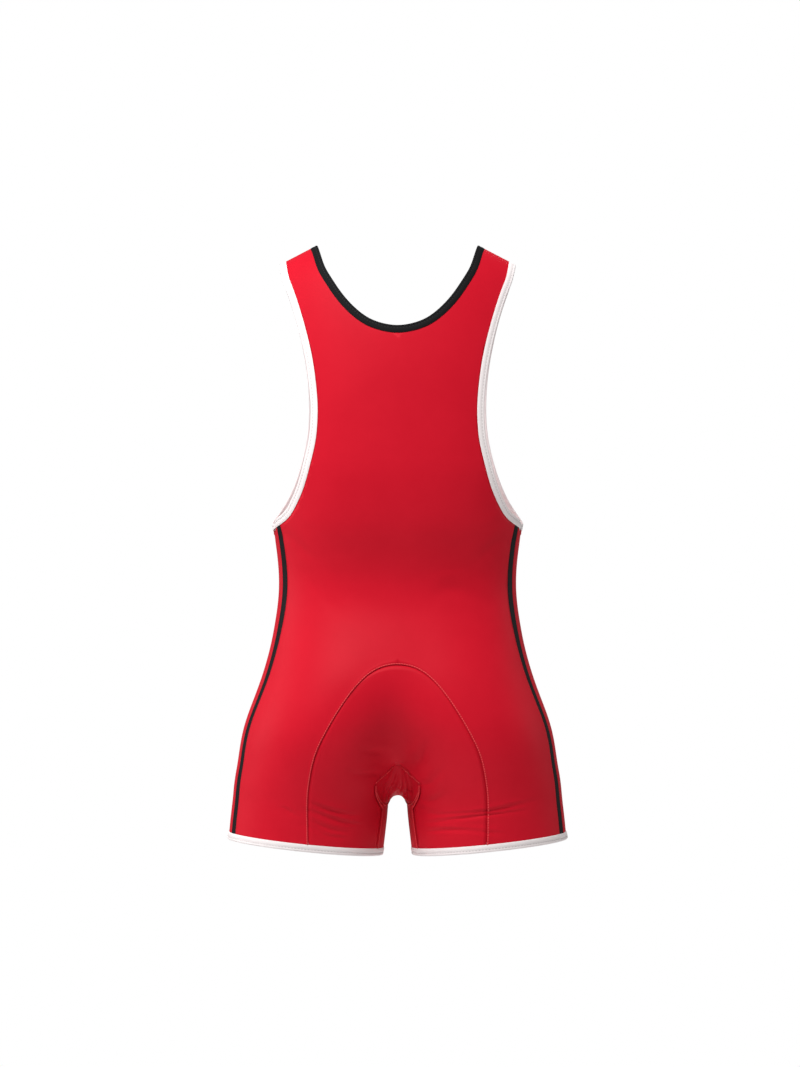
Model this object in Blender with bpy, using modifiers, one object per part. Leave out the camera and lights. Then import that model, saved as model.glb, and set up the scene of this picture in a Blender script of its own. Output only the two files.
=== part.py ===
"""A wrestling singlet, hollow and filled out: a sleeveless one-piece with short legs.

The cloth is cut as a back, a seat, a front and a gusset, with a stripe in each side seam and
bound edges. Metres, +Z up, +Y to the front. The origin is midway between the straps,
at the height where they pass over the shoulders.
"""
import math
from functools import lru_cache

import bmesh
import bpy
from mathutils import Vector

# Cloth and tape
CLOTH = 0.0015
SEAM_GAP = 0.0003
TAPE_WIDTH = 0.0088
TAPE_THICKNESS = 0.0027
TAPE_PROUD = 0.0006
STRIPE_WIDTH = 0.012
STRIPE_ANGLE = math.radians(65)

# Shoulders: above CHEST_HEIGHT each strap arches over to a ridge
CHEST_HEIGHT = -0.25
RIDGE_DEPTH = -0.015
RIDGE_SLOPE = 0.52
STRAP_MIDDLE = 0.125
ARCH_SQUARENESS = 2.3

# The hem of each leg: its plane is square to the leg, higher outside than inside
HEM_HEIGHT = -0.709
HEM_TILT = 0.010
HEM_BACK_RISE = 0.0035
CROTCH_HEIGHT = -0.655

# Sections of the trunk and legs, from the chest down. Each is two equal lobes that share one
# centre at the waist and part into the legs. leg_web is the reach of the smooth web of cloth
# between the lobes. The fill carries the front between the legs, down to the crotch.
SECTION_COLUMNS = ("height", "half_width", "leg_offset", "back", "front", "squareness",
                   "leg_web", "fill_width", "fill_depth", "fill_web")
SECTIONS = (
    (-0.250, 0.1630, 0.0000, 0.114, 0.115, 2.40, 0.000, 0.080, 0.080, 0.024),
    (-0.290, 0.1575, 0.0000, 0.111, 0.113, 2.40, 0.000, 0.080, 0.080, 0.024),
    (-0.329, 0.1520, 0.0000, 0.104, 0.109, 2.40, 0.000, 0.080, 0.080, 0.024),
    (-0.360, 0.1475, 0.0000, 0.094, 0.105, 2.35, 0.000, 0.075, 0.075, 0.024),
    (-0.390, 0.1450, 0.0000, 0.087, 0.102, 2.35, 0.000, 0.070, 0.075, 0.024),
    (-0.418, 0.1460, 0.0040, 0.087, 0.100, 2.35, 0.002, 0.070, 0.075, 0.024),
    (-0.440, 0.1495, 0.0150, 0.092, 0.099, 2.30, 0.006, 0.070, 0.078, 0.024),
    (-0.466, 0.1540, 0.0260, 0.101, 0.098, 2.30, 0.010, 0.070, 0.084, 0.024),
    (-0.495, 0.1615, 0.0400, 0.112, 0.097, 2.25, 0.016, 0.066, 0.090, 0.024),
    (-0.515, 0.1680, 0.0510, 0.118, 0.096, 2.20, 0.020, 0.062, 0.091, 0.024),
    (-0.540, 0.1775, 0.0650, 0.122, 0.095, 2.20, 0.026, 0.057, 0.090, 0.024),
    (-0.564, 0.1870, 0.0770, 0.123, 0.094, 2.15, 0.031, 0.051, 0.087, 0.024),
    (-0.588, 0.1930, 0.0880, 0.120, 0.094, 2.10, 0.036, 0.045, 0.080, 0.024),
    (-0.617, 0.1970, 0.0970, 0.113, 0.094, 2.05, 0.039, 0.036, 0.066, 0.022),
    (-0.637, 0.2010, 0.1020, 0.107, 0.094, 2.05, 0.040, 0.025, 0.045, 0.018),
    (-0.655, 0.2025, 0.1060, 0.103, 0.094, 2.00, 0.036, 0.000, 0.000, 0.006),
    (-0.686, 0.2060, 0.1095, 0.098, 0.094, 2.00, 0.000, 0.000, 0.000, 0.000),
    (-0.720, 0.2090, 0.1130, 0.095, 0.093, 2.00, 0.000, 0.000, 0.000, 0.000),
    (-0.750, 0.2115, 0.1160, 0.093, 0.092, 2.00, 0.000, 0.000, 0.000, 0.000),
)
SMALLEST_FILL = 0.002

# Edges of the cloth, each row a height and the half width there, from the ridge down
RIDGE_NECK = 0.1055
RIDGE_ARMHOLE = 0.1360
NECK_BACK = (
    (-0.0169, 0.0965), (-0.0332, 0.0872), (-0.0483, 0.0782), (-0.0630, 0.0673),
    (-0.0781, 0.0525), (-0.0852, 0.0437), (-0.0923, 0.0301), (-0.0988, 0.0),
)
NECK_FRONT = (
    (-0.0200, 0.0985), (-0.0500, 0.0880), (-0.0850, 0.0770), (-0.1200, 0.0640),
    (-0.1480, 0.0490), (-0.1660, 0.0350), (-0.1765, 0.0185), (-0.1795, 0.0),
)
ARMHOLE_BACK = (
    (-0.0247, 0.1325), (-0.0400, 0.1264), (-0.0556, 0.1210), (-0.0847, 0.1120),
    (-0.1297, 0.1012), (-0.1774, 0.0954), (-0.2017, 0.0954), (-0.2250, 0.0973),
    (-0.2483, 0.1028), (-0.2726, 0.1092), (-0.2959, 0.1183), (-0.3202, 0.1340),
)
ARMHOLE_FRONT = (
    (-0.0247, 0.1325), (-0.0556, 0.1225), (-0.0950, 0.1125), (-0.1400, 0.1050),
    (-0.1850, 0.1030), (-0.2200, 0.1060), (-0.2500, 0.1130), (-0.2750, 0.1210),
    (-0.3000, 0.1320), (-0.3210, 0.1450),
)
ARMHOLE_LOW = -0.333
ARCH_SEAM = (
    (-0.4907, 0.0), (-0.4955, 0.0230), (-0.5100, 0.0425), (-0.5370, 0.0640),
    (-0.5758, 0.0870), (-0.6030, 0.0985), (-0.6370, 0.1050), (-0.6590, 0.1065),
)
GUSSET_BACK = (-0.6130, 0.0)
GUSSET_TIP = (-0.6365, 0.0270)
GUSSET_FRONT_HEIGHT = -0.6490
GUSSET_LOW = -0.6640
HEM_ARCH = 0.1060
HEM_INSEAM = 0.0248

# The leg zone runs down to the hem in rows that are close enough to hold the creases
LEG_ZONE = 0.048
HEM_EASE = 4
CREASE_WIDTH = 0.0036
CREASE_COLUMNS = ("start_x", "start_z", "end_x", "end_z", "depth")
CREASES = (
    (0.175, -0.6530, 0.020, -0.6725, 0.0012),
    (0.165, -0.6620, 0.020, -0.6835, 0.0014),
    (0.145, -0.6740, 0.030, -0.6935, 0.0012),
)
GATHERS = 5
GATHER_DEPTH = 0.0008
INSEAM_LEAN = math.radians(2)

# How finely each edge and each row is divided
NECK_BACK_STEPS = 10
NECK_FRONT_STEPS = 14
CENTRE_STEPS = 17
ARCH_TOP_STEPS = 5
ARCH_SIDE_STEPS = 13
SIDE_STEPS = 18
LEG_STEPS = 8
INSEAM_TOP_STEPS = 4
GUSSET_BACK_STEPS = 4
SEAT_CENTRE_STEPS = ARCH_SIDE_STEPS - GUSSET_BACK_STEPS - INSEAM_TOP_STEPS
ARMHOLE_BACK_STEPS = NECK_BACK_STEPS + CENTRE_STEPS + ARCH_TOP_STEPS + ARCH_SIDE_STEPS - SIDE_STEPS
FRONT_CENTRE_STEPS = 26
ARMHOLE_FRONT_STEPS = NECK_FRONT_STEPS + FRONT_CENTRE_STEPS + INSEAM_TOP_STEPS - SIDE_STEPS
PANEL_STEPS = 10
INNER_LEG_STEPS = 8
GUSSET_STEPS = 5
STRIPE_STEPS = 2
CURVE_STEPS = 12
DENSE_STEPS = 40
SEARCH_STEPS = 32
WELD = 0.00002

# Where an edge turns by more than these, its points are moved less, or by their own faces
MITRE_LIMIT = 0.4
CREASED = 0.9
SHARP = math.radians(50)

# Points inside each opening: its tape lies across the cloth's edge towards them
NECK_CENTRE = Vector((0.0, 0.0, 0.1))
ARMHOLE_CENTRE = Vector((0.3, 0.0, -0.15))
LEG_CENTRE = Vector((0.111, 0.0, -2.0))

RED = (0.60, 0.020, 0.035)
BLACK = (0.012, 0.012, 0.014)
WHITE = (0.86, 0.84, 0.84)
KNIT_ROUGHNESS = 0.45
TAPE_ROUGHNESS = 0.7


# The figure that the singlet is cut for

@lru_cache(maxsize=None)
def section(height):
    """Every column of SECTIONS at one height, as a smooth curve through the rows."""
    rows = SECTIONS
    i = 0
    while i < len(rows) - 2 and height < rows[i + 1][0]:
        i += 1
    upper = rows[i]
    lower = rows[i + 1]
    run = lower[0] - upper[0]
    t = min(max((height - upper[0]) / run, 0.0), 1.0)
    values = []
    for k in range(1, len(upper)):
        chord = (lower[k] - upper[k]) / run
        slope_up = 0.0 if i == 0 else (lower[k] - rows[i - 1][k]) / (lower[0] - rows[i - 1][0])
        slope_down = chord
        if i + 2 < len(rows):
            slope_down = (rows[i + 2][k] - upper[k]) / (rows[i + 2][0] - upper[0])
        value = (
            (2 * t**3 - 3 * t**2 + 1) * upper[k] + (3 * t**2 - 2 * t**3) * lower[k]
            + (t**3 - 2 * t**2 + t) * run * slope_up + (t**3 - t**2) * run * slope_down)
        values.append(max(value, 0.0))
    return dict(zip(SECTION_COLUMNS[1:], values))


def lobe(x, y, width, back, front, squareness):
    """Distance outside one rounded lobe, measured along the line from its centre."""
    depth = back if y < 0 else front
    reach = (abs(x / width)**squareness + abs(y / depth)**squareness)**(1 / squareness)
    length = math.hypot(x, y)
    return length - length / reach if reach > 1e-9 else -min(width, depth)


def soft_union(a, b, web):
    """The nearer of two distances, with a web of cloth across the crease between them."""
    near = max(web - abs(a - b), 0.0) / web if web > 1e-6 else 0.0
    return min(a, b) - near * near * web / 4


def outside(x, y, height):
    """Distance outside the figure at or below the chest, negative inside."""
    s = section(height)
    width = s["half_width"] - s["leg_offset"]
    legs = [lobe(x - side * s["leg_offset"], y, width, s["back"], s["front"], s["squareness"])
            for side in (1, -1)]
    both = soft_union(legs[0], legs[1], s["leg_web"])
    if s["fill_width"] < SMALLEST_FILL:
        return both
    fill = lobe(x, y, s["fill_width"], s["fill_width"], s["fill_depth"], 2.0)
    return soft_union(both, fill, s["fill_web"])


def search(low, high, is_past):
    """The value between low and high where is_past turns from false to true."""
    for _ in range(SEARCH_STEPS):
        middle = (low + high) / 2
        if is_past(middle):
            high = middle
        else:
            low = middle
    return (low + high) / 2


def arch(turn):
    """Depth and height shares on the way over the shoulder, for a turn from 0 to 90 degrees."""
    c = math.cos(turn)
    s = math.sin(turn)
    size = (abs(c)**ARCH_SQUARENESS + abs(s)**ARCH_SQUARENESS)**(-1 / ARCH_SQUARENESS)
    return size * c, size * s


def ridge_height(x):
    return RIDGE_SLOPE * (STRAP_MIDDLE - abs(x))


def over_shoulder(x, chest_depth, level):
    """The point above the chest at a level from CHEST_HEIGHT up to 0, the ridge."""
    turn = math.radians(90) * (1 - level / CHEST_HEIGHT)
    depth, rise = arch(turn)
    y = RIDGE_DEPTH + (chest_depth - RIDGE_DEPTH) * depth
    z = CHEST_HEIGHT + (ridge_height(x) - CHEST_HEIGHT) * rise
    return Vector((x, y, z))


@lru_cache(maxsize=None)
def place(angle, level):
    """The point of the cloth at an angle round the leg's axis, from the back outwards."""
    height = min(level, CHEST_HEIGHT)
    s = section(height)
    across = (s["half_width"] - s["leg_offset"]) * math.sin(angle)
    depth = s["back"] if math.cos(angle) > 0 else s["front"]
    along = -depth * math.cos(angle)

    def is_past(t):
        x = s["leg_offset"] + t * across
        return x < -WELD / 2 or outside(x, t * along, height) > 0
    size = search(0.3, 1.7, is_past)
    x = s["leg_offset"] + size * across
    y = size * along
    if level <= CHEST_HEIGHT:
        return Vector((x, y, height))
    return over_shoulder(x, y, level)


def place_at(x, height, side):
    """The point of the back (side -1) or the front (side 1) at a half width and a height."""
    chest = min(height, CHEST_HEIGHT)
    depth = side * search(0.0, 0.2, lambda y: outside(x, side * y, chest) > 0)
    if height <= CHEST_HEIGHT:
        return Vector((x, depth, height))
    share = min((height - CHEST_HEIGHT) / (ridge_height(x) - CHEST_HEIGHT), 1.0)
    turn = search(0.0, math.radians(90), lambda t: arch(t)[1] > share)
    return over_shoulder(x, depth, CHEST_HEIGHT * (1 - turn / math.radians(90)))


def settle(point, side):
    """The angle and level of the place nearest a point, along the line from the axis."""
    if point.z <= CHEST_HEIGHT:
        s = section(point.z)
        depth = s["back"] if point.y < 0 else s["front"]
        width = s["half_width"] - s["leg_offset"]
        angle = math.atan2((point.x - s["leg_offset"]) / width, -point.y / depth)
        if side > 0 and angle < 0:
            angle += math.radians(360)
        return angle, point.z
    chest = place_at(abs(point.x), CHEST_HEIGHT, side)
    s = section(CHEST_HEIGHT)
    depth = s["back"] if side < 0 else s["front"]
    angle = math.atan2(chest.x / s["half_width"], -chest.y / depth)
    rise = (point.z - CHEST_HEIGHT) / (ridge_height(point.x) - CHEST_HEIGHT)
    run = max((point.y - RIDGE_DEPTH) / (chest.y - RIDGE_DEPTH), 0.0)
    turn = math.atan2(rise, run)
    return angle, CHEST_HEIGHT * (1 - turn / math.radians(90))


def hem_height(angle):
    return HEM_HEIGHT + HEM_TILT * math.sin(angle) + HEM_BACK_RISE * math.cos(angle)


def facing(point):
    """The direction out of the cloth at a point on the +X half."""
    step = 0.0005

    def value(p):
        if p.z <= CHEST_HEIGHT:
            return outside(p.x, p.y, p.z)
        side = -1 if p.y < RIDGE_DEPTH else 1
        chest = place_at(max(p.x, 0.0), CHEST_HEIGHT, side)
        depth = abs((p.y - RIDGE_DEPTH) / (chest.y - RIDGE_DEPTH))
        rise = (p.z - CHEST_HEIGHT) / (ridge_height(p.x) - CHEST_HEIGHT)
        reach = (depth**ARCH_SQUARENESS + rise**ARCH_SQUARENESS)**(1 / ARCH_SQUARENESS)
        return (reach - 1.0) * abs(chest.y)
    way = Vector([value(point + step * Vector(axis)) - value(point - step * Vector(axis))
                  for axis in ((1, 0, 0), (0, 1, 0), (0, 0, 1))])
    return way.normalized()


def facing_side(point):
    """The direction out of the cloth on either side of the garment."""
    return facing(point) if point.x >= 0 else mirrored(facing(mirrored(point)))


# Curves through points

def smooth_curve(points, before, after):
    """A smooth curve through points; before and after lead it in and out."""
    whole = [before] + list(points) + [after]
    curve = []
    for i in range(1, len(whole) - 2):
        a, b, c, d = whole[i - 1:i + 3]
        for k in range(CURVE_STEPS):
            t = k / CURVE_STEPS
            curve.append(0.5 * (2 * b + (c - a) * t + (2 * a - 5 * b + 4 * c - d) * t**2
                                + (3 * b - a - 3 * c + d) * t**3))
    curve.append(points[-1].copy())
    return curve


def spread(curve, steps):
    """Points evenly spaced along a curve, its ends among them."""
    lengths = [0.0]
    for a, b in zip(curve, curve[1:]):
        lengths.append(lengths[-1] + (b - a).length)
    points = []
    i = 0
    for k in range(steps + 1):
        goal = lengths[-1] * k / steps
        while i < len(curve) - 2 and lengths[i + 1] < goal:
            i += 1
        span = lengths[i + 1] - lengths[i]
        points.append(curve[i].lerp(curve[i + 1], min((goal - lengths[i]) / span, 1.0)))
    return points


def shares(steps):
    """Even shares from 0 to 1."""
    return [k / steps for k in range(steps + 1)]


def mirrored(point):
    return Vector((-point.x, point.y, point.z))


def edge(points, before, after, steps, side):
    """The angles and levels of evenly spaced places along an edge of the cloth."""
    return [settle(p, side) for p in spread(smooth_curve(points, before, after), steps)]


def stripe_angle(level, side):
    """The angle of the stripe's back edge (side -1) or front edge (side 1)."""
    step = math.radians(0.5)
    chord = place(STRIPE_ANGLE + step, level) - place(STRIPE_ANGLE - step, level)
    speed = chord.length / (2 * step)
    return STRIPE_ANGLE + side * STRIPE_WIDTH / 2 / speed


def leg_top(angle):
    return hem_height(angle) + LEG_ZONE


def stripe_side(top, side):
    """An edge of the stripe, from the armhole down to the top of the leg zone."""
    low = leg_top(stripe_angle(HEM_HEIGHT + LEG_ZONE, side))
    levels = [top[1] + (low - top[1]) * i / SIDE_STEPS for i in range(SIDE_STEPS + 1)]
    return [top] + [(stripe_angle(level, side), level) for level in levels[1:]]


def down_leg(angle_above, angle_hem):
    """A seam down the leg zone, from its top to the hem."""
    seam = []
    for i in range(LEG_STEPS + 1):
        t = i / LEG_STEPS
        angle = angle_above + (angle_hem - angle_above) * t
        seam.append((angle, leg_top(angle) - LEG_ZONE * t))
    return seam


def split_armhole(curve):
    """The armhole's edge on the back, across the stripe's top and on the front."""
    places = [settle(p, -1 if p.y < RIDGE_DEPTH else 1) for p in curve]
    ends = []
    for side in (-1, 1):
        i = next(k for k, p in enumerate(places) if p[0] > stripe_angle(p[1], side)
                 and curve[k].z < CHEST_HEIGHT)
        ends.append(i)
    back, front = ends
    return curve[:back + 1], curve[back:front + 1], curve[front:]


def half_edges():
    """Every seam and open edge on the +X half, as lists of (angle, level) from the top down."""
    neck_top = over_shoulder(RIDGE_NECK, RIDGE_DEPTH, 0.0)
    arm_top = over_shoulder(RIDGE_ARMHOLE, RIDGE_DEPTH, 0.0)
    neck_back = [place_at(x, z, -1) for z, x in NECK_BACK]
    neck_front = [place_at(x, z, 1) for z, x in NECK_FRONT]
    arm_back = [place_at(x, z, -1) for z, x in ARMHOLE_BACK]
    arm_front = [place_at(x, z, 1) for z, x in ARMHOLE_FRONT]
    arm_low = place(math.radians(90), ARMHOLE_LOW)
    edges = {}
    edges["neck_back"] = edge([neck_top] + neck_back, neck_front[0], mirrored(neck_back[-2]),
                              NECK_BACK_STEPS, -1)
    edges["neck_front"] = edge([neck_top] + neck_front, neck_back[0], mirrored(neck_front[-2]),
                               NECK_FRONT_STEPS, 1)
    armhole = smooth_curve([arm_top] + arm_back + [arm_low] + arm_front[::-1] + [arm_top],
                           arm_front[0], arm_back[0])
    back, top, front = split_armhole(armhole)
    edges["armhole_back"] = [settle(p, -1) for p in spread(back, ARMHOLE_BACK_STEPS)]
    edges["stripe_top"] = [settle(p, -1) for p in spread(top, STRIPE_STEPS)]
    around = spread(front, ARMHOLE_FRONT_STEPS)
    edges["armhole_front"] = [settle(p, 1) for p in around][::-1]
    edges["armhole_front"][0] = (math.radians(180) - edges["armhole_back"][0][0], 0.0)
    edges["neck_front"][0] = (math.radians(180) - edges["neck_back"][0][0], 0.0)
    for name, side, top_place in (("stripe_back", -1, edges["stripe_top"][0]),
                                  ("stripe_front", 1, edges["stripe_top"][-1])):
        upper = stripe_side(top_place, side)
        hem = stripe_angle(HEM_HEIGHT, side)
        edges[name] = upper[:-1] + down_leg(upper[-1][0], hem)
    centre = [place_at(0.0, NECK_BACK[-1][0] * (1 - t) + ARCH_SEAM[0][0] * t, -1)
              for t in shares(DENSE_STEPS)]
    edges["centre_back"] = [settle(p, -1) for p in spread(centre, CENTRE_STEPS)]
    seam = [place_at(x, z, -1) for z, x in ARCH_SEAM]
    seam = smooth_curve(seam, mirrored(seam[1]), seam[-1] * 2 - seam[-2])
    upper = [settle(p, -1) for p in spread(seam, ARCH_TOP_STEPS + ARCH_SIDE_STEPS)]
    edges["arch"] = upper[:-1] + down_leg(upper[-1][0], hem_angle(HEM_ARCH))
    side = [place_at(GUSSET_TIP[1] * t, GUSSET_BACK[0] * (1 - t) + GUSSET_TIP[0] * t, -1)
            for t in shares(GUSSET_BACK_STEPS)]
    edges["gusset_back"] = [settle(p, -1) for p in spread(side, GUSSET_BACK_STEPS)]
    centre = [place_at(0.0, ARCH_SEAM[0][0] * (1 - t) + GUSSET_BACK[0] * t, -1)
              for t in shares(DENSE_STEPS)]
    edges["seat_centre"] = [settle(p, -1) for p in spread(centre, SEAT_CENTRE_STEPS)]
    inner = hem_angle(HEM_INSEAM)
    start = edges["gusset_back"][-1]
    low = inner - INSEAM_LEAN
    above = [(start[0] + (low - start[0]) * t**1.5, start[1] + (leg_top(low) - start[1]) * t)
             for t in shares(INSEAM_TOP_STEPS)]
    edges["inseam"] = above[:-1] + down_leg(low, inner)
    front_apex = place_at(0.0, GUSSET_FRONT_HEIGHT, 1)
    centre = [place_at(0.0, NECK_FRONT[-1][0] * (1 - t) + GUSSET_FRONT_HEIGHT * t, 1)
              for t in shares(DENSE_STEPS)]
    edges["centre_front"] = [settle(p, 1) for p in spread(centre, FRONT_CENTRE_STEPS)]
    apex_place = settle(front_apex, 1)
    tip_place = (start[0] + math.radians(360), start[1])
    middle = ((apex_place[0] + tip_place[0]) / 2, 2 * GUSSET_LOW - (apex_place[1] + tip_place[1]) / 2)
    edges["gusset_front"] = []
    for t in shares(INNER_LEG_STEPS):
        edges["gusset_front"].append(tuple(
            tip_place[i] * (1 - t)**2 + middle[i] * 2 * t * (1 - t) + apex_place[i] * t**2
            for i in (0, 1)))
    return edges


def hem_angle(x):
    return search(math.radians(-89), math.radians(60), lambda a: place(a, hem_height(a)).x > x)


def points_of(places):
    points = [place(angle, level).copy() for angle, level in places]
    for p in points:
        if abs(p.x) < WELD:
            p.x = 0.0
    return points


# Cloth

def between(start, end, steps):
    """Rows of places between two edges that have the same number of places."""
    return [[(a[0] + (b[0] - a[0]) * k / steps, a[1] + (b[1] - a[1]) * k / steps)
             for k in range(steps + 1)] for a, b in zip(start, end)]


def level_hem(rows):
    """Let the last LEG_STEPS rows follow the hem, and the rows above ease into them."""
    first = len(rows) - 1 - LEG_STEPS
    drops = [leg_top(angle) - level for angle, level in rows[first]]
    for i in range(first):
        share = (i / first)**HEM_EASE
        rows[i] = [(angle, level + drop * share) for (angle, level), drop in zip(rows[i], drops)]
    for i in range(first, len(rows)):
        fall = LEG_ZONE * (i - first) / LEG_STEPS
        rows[i] = [(angle, leg_top(angle) - fall) for angle, _ in rows[i]]
    return rows


def add_rows(mesh, rows):
    """Join rows of points into four-sided faces."""
    made = [[mesh.verts.new(p) for p in row] for row in rows]
    for upper, lower in zip(made, made[1:]):
        for k in range(len(upper) - 1):
            mesh.faces.new((upper[k], upper[k + 1], lower[k + 1], lower[k]))


def open_seams(mesh):
    """Draw every edge of a panel in by half of the gap at a seam."""
    moves = {}
    for e in mesh.edges:
        a, b = e.verts
        if not e.is_boundary or (a.co.x == 0.0 and b.co.x == 0.0):
            continue
        face = e.link_faces[0]
        inward = face.normal.cross(b.co - a.co).normalized()
        if inward.dot(face.calc_center_median() - a.co) < 0:
            inward.negate()
        for v in (a, b):
            moves.setdefault(v, []).append(inward)
            if v.co.x == 0.0:
                moves[v].append(Vector((-inward.x, inward.y, inward.z)))
    for v, ways in moves.items():
        whole = sum(ways, Vector()) / len(ways)
        v.co += whole * (SEAM_GAP / 2) / max(whole.length_squared, MITRE_LIMIT)


def crease_depth(point):
    """How far the creases at the hem draw the cloth in at a point on the back of the leg."""
    depth = 0.0
    if point.y > 0.0 or point.x == 0.0:
        return depth
    for row in CREASES:
        c = dict(zip(CREASE_COLUMNS, row))
        run = (abs(point.x) - c["start_x"]) / (c["end_x"] - c["start_x"])
        if 0.0 < run < 1.0:
            off = point.z - (c["start_z"] + (c["end_z"] - c["start_z"]) * run)
            fade = math.sin(math.radians(180) * run)
            depth += c["depth"] * fade * math.exp(-(off / CREASE_WIDTH)**2)
    return depth


def add_wall(mesh):
    """Give an open panel its inner face and rim, square to the figure so that seams stay open."""
    inner = {}
    for v in list(mesh.verts):
        out = facing_side(v.co)
        if not v.is_boundary and out.dot(v.normal) < CREASED:
            out = v.normal.copy()
        if v.co.x == 0.0:
            out.x = 0.0
        inner[v] = mesh.verts.new(v.co - out.normalized() * CLOTH)
    rim = [e for e in mesh.edges if e.is_boundary and any(v.co.x != 0.0 for v in e.verts)]
    for e in rim:
        face = e.link_faces[0]
        a, b = e.verts
        order = list(face.verts)
        if order[(order.index(a) + 1) % len(order)] != b:
            a, b = b, a
        mesh.faces.new((b, a, inner[a], inner[b]))
    for f in [f for f in mesh.faces if all(v in inner for v in f.verts)]:
        mesh.faces.new([inner[v] for v in reversed(f.verts)])


def new_object(name, mesh, colour, roughness):
    data = bpy.data.meshes.new(name)
    mesh.to_mesh(data)
    mesh.free()
    made = bpy.data.objects.new(name, data)
    singlet.objects.link(made)
    material = bpy.data.materials.new(name)
    material.use_nodes = True
    shader = material.node_tree.nodes["Principled BSDF"]
    shader.inputs["Base Color"].default_value = (*colour, 1.0)
    shader.inputs["Roughness"].default_value = roughness
    shader.inputs["Metallic"].default_value = 0.0
    data.materials.append(material)
    data.shade_smooth()
    data.set_sharp_from_angle(angle=SHARP)
    return made


def add_panel(name, patches, outward, colour, whole=True):
    """A panel: patches of rows joined at their edges, mirrored, and given the cloth's wall."""
    mesh = bmesh.new()
    for rows in patches:
        add_rows(mesh, rows)
    bmesh.ops.remove_doubles(mesh, verts=mesh.verts, dist=WELD)
    mesh.normal_update()
    if sum(f.normal.dot(outward) * f.calc_area() for f in mesh.faces) < 0:
        bmesh.ops.reverse_faces(mesh, faces=mesh.faces)
        mesh.normal_update()
    for v in mesh.verts:
        depth = crease_depth(v.co)
        if depth > 0.0:
            v.co -= facing_side(v.co) * depth
    mesh.normal_update()
    open_seams(mesh)
    add_wall(mesh)
    panel = new_object(name, mesh, colour, KNIT_ROUGHNESS)
    if whole:
        mirror = panel.modifiers.new("other_half", "MIRROR")
        mirror.use_axis = (True, False, False)
        mirror.merge_threshold = WELD
    return panel


def add_back_panel(edges):
    left = edges["neck_back"] + edges["centre_back"][1:] + edges["arch"][1:]
    right = edges["armhole_back"] + edges["stripe_back"][1:]
    rows = level_hem(between(left, right, PANEL_STEPS))
    add_panel("back_panel", [[points_of(row) for row in rows]], Vector((0, -1, 0)), RED)
    return rows[-1]


def add_seat_panel(edges):
    """The seat: a patch between four curved edges down to the leg, and rows down the leg."""
    leg = ARCH_TOP_STEPS + ARCH_SIDE_STEPS
    top = points_of(edges["arch"][:ARCH_TOP_STEPS + 1])
    right = points_of(edges["arch"][ARCH_TOP_STEPS:leg + 1])
    left = points_of(edges["seat_centre"] + edges["gusset_back"][1:]
                     + edges["inseam"][1:INSEAM_TOP_STEPS + 1])
    angles = [edges["inseam"][INSEAM_TOP_STEPS][0], edges["arch"][leg][0]]
    low = [angles[0] + (angles[1] - angles[0]) * k / ARCH_TOP_STEPS
           for k in range(ARCH_TOP_STEPS + 1)]
    bottom = points_of([(a, leg_top(a)) for a in low])
    patch = []
    for i, (a, b) in enumerate(zip(left, right)):
        t = i / (len(left) - 1)
        row = []
        for k, (c, d) in enumerate(zip(top, bottom)):
            s = k / ARCH_TOP_STEPS
            corner = (top[0].lerp(top[-1], s)).lerp(bottom[0].lerp(bottom[-1], s), t)
            p = c.lerp(d, t) + a.lerp(b, s) - corner
            inside = 0 < i < len(left) - 1 and 0 < k < ARCH_TOP_STEPS
            row.append(place_at(p.x, p.z, -1) if inside else p)
        patch.append(row)
    patch[0] = top
    patch[-1] = bottom
    for row, a, b in zip(patch, left, right):
        row[0] = a
        row[-1] = b
    leg_rows = between(edges["inseam"][INSEAM_TOP_STEPS:], edges["arch"][leg:], ARCH_TOP_STEPS)
    leg_rows = [[(a, leg_top(a) - LEG_ZONE * i / LEG_STEPS) for a, _ in row]
                for i, row in enumerate(leg_rows)]
    add_panel("seat_panel", [patch, [points_of(row) for row in leg_rows]], Vector((0, -1, 0)), RED)
    return leg_rows[-1]


def add_gusset(edges):
    """The gusset: rows from a curve under the crotch out to its two edges on the leg."""
    border = points_of(edges["gusset_back"]) + points_of(edges["gusset_front"][1:])
    back = border[0]
    front = border[-1]
    rows = []
    for i, e in enumerate(border):
        t = i / (len(border) - 1)
        y = back.y + (front.y - back.y) * t
        end = back if y < 0 else front
        z = CROTCH_HEIGHT + (end.z - CROTCH_HEIGHT) * (y / end.y)**2
        c = Vector((0.0, y, z))
        row = []
        for k in range(GUSSET_STEPS + 1):
            s = k / GUSSET_STEPS
            p = c + (e - c) * s * s
            p.x = e.x * s
            fade = math.sin(math.radians(180) * s) * math.sin(math.radians(180) * t)
            p.z += GATHER_DEPTH * fade * math.cos(math.radians(360) * s * GATHERS / 2)
            row.append(p)
        rows.append(row)
    add_panel("gusset", [rows], Vector((0, 0, -1)), RED)


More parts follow.
